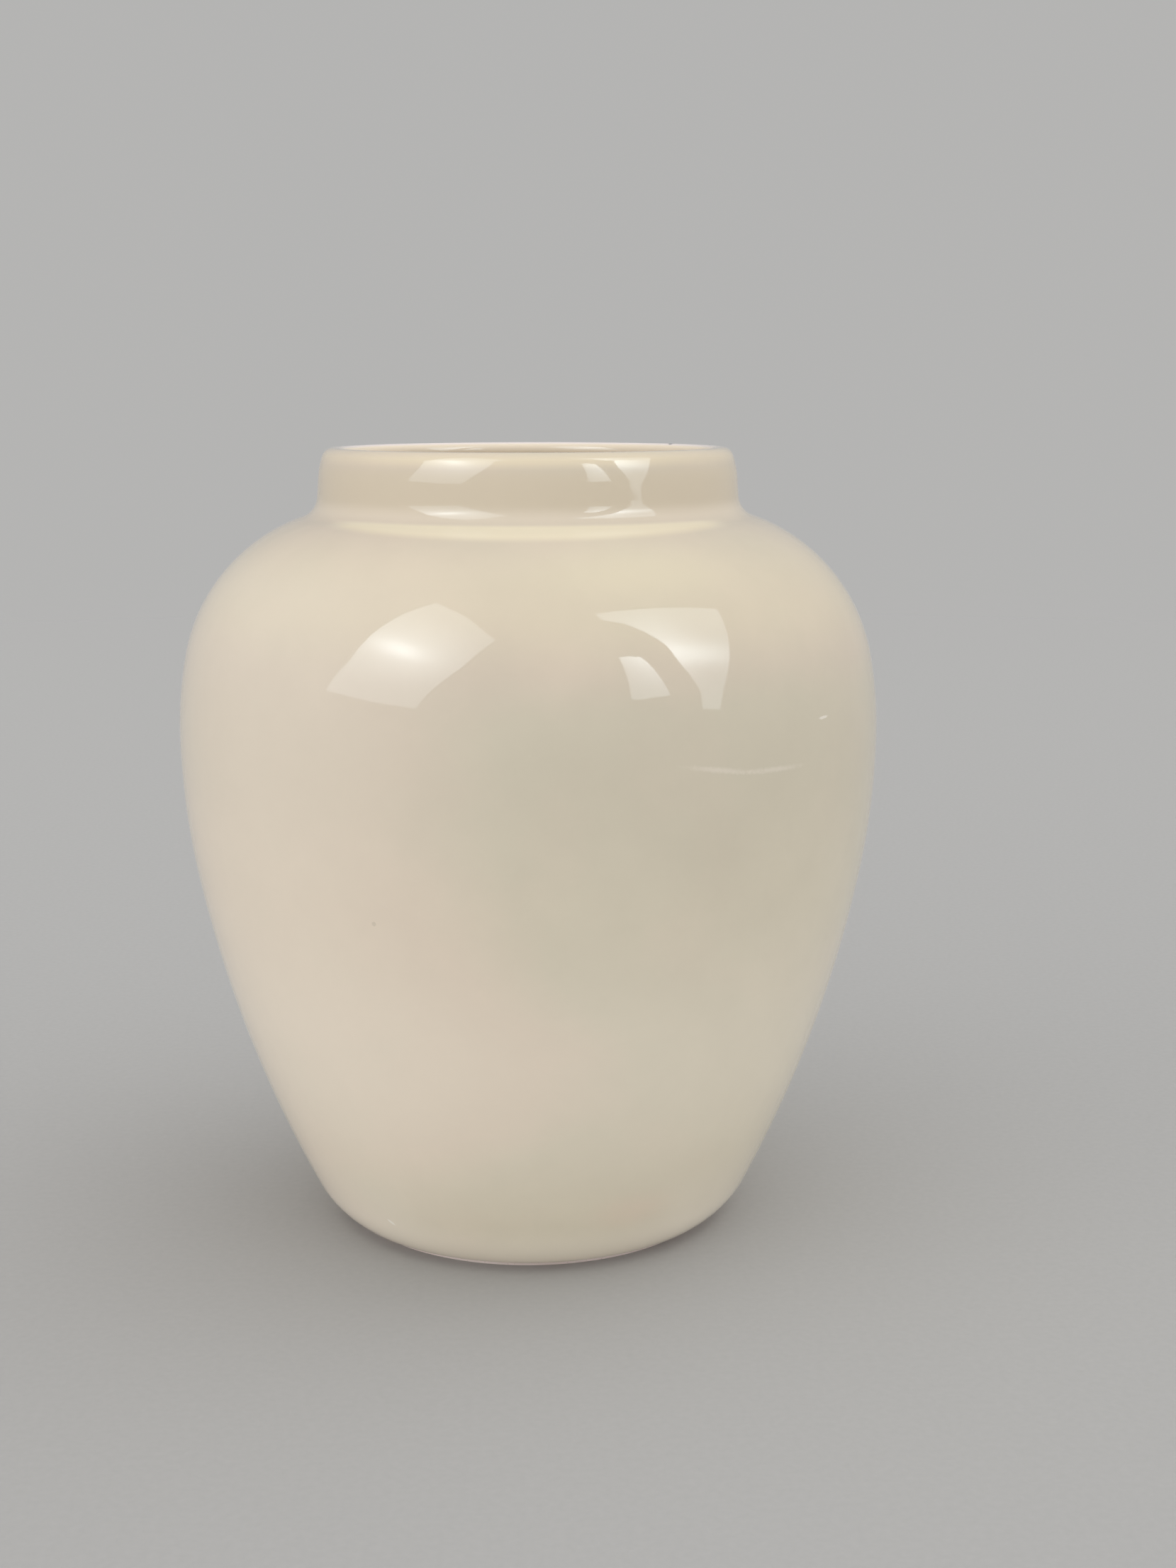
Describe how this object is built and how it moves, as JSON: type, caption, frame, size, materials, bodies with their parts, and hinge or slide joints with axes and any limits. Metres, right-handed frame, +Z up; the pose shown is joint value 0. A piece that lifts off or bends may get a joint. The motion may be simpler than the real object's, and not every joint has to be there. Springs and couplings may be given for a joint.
{
  "type": "vase",
  "caption": "Short round-shouldered vase of glazed clay with an upright collar, a rounded lip and a low bare foot ring.",
  "frame": {"origin": "centre of the foot ring's standing face, on the table", "axes": "+Z up along the axis that the vase is turned on; the vase is round, and the picture looks at its -Y side"},
  "size_m": [0.134, 0.134, 0.15],
  "materials": {
    "bare_clay": "matt fired clay, wiped bare",
    "covered_clay": "fired clay under the glaze",
    "cream_glaze": "high gloss, cream white"
  },
  "bodies": {
    "root": {"foot_ring": "bare_clay", "floor_disc": "covered_clay", "lower_wall": "covered_clay", "shoulder": "covered_clay", "collar": "covered_clay", "outside_glaze": "cream_glaze", "lip_glaze": "cream_glaze", "inside_glaze": "cream_glaze", "base_glaze": "cream_glaze"}
  },
  "joints": []
}
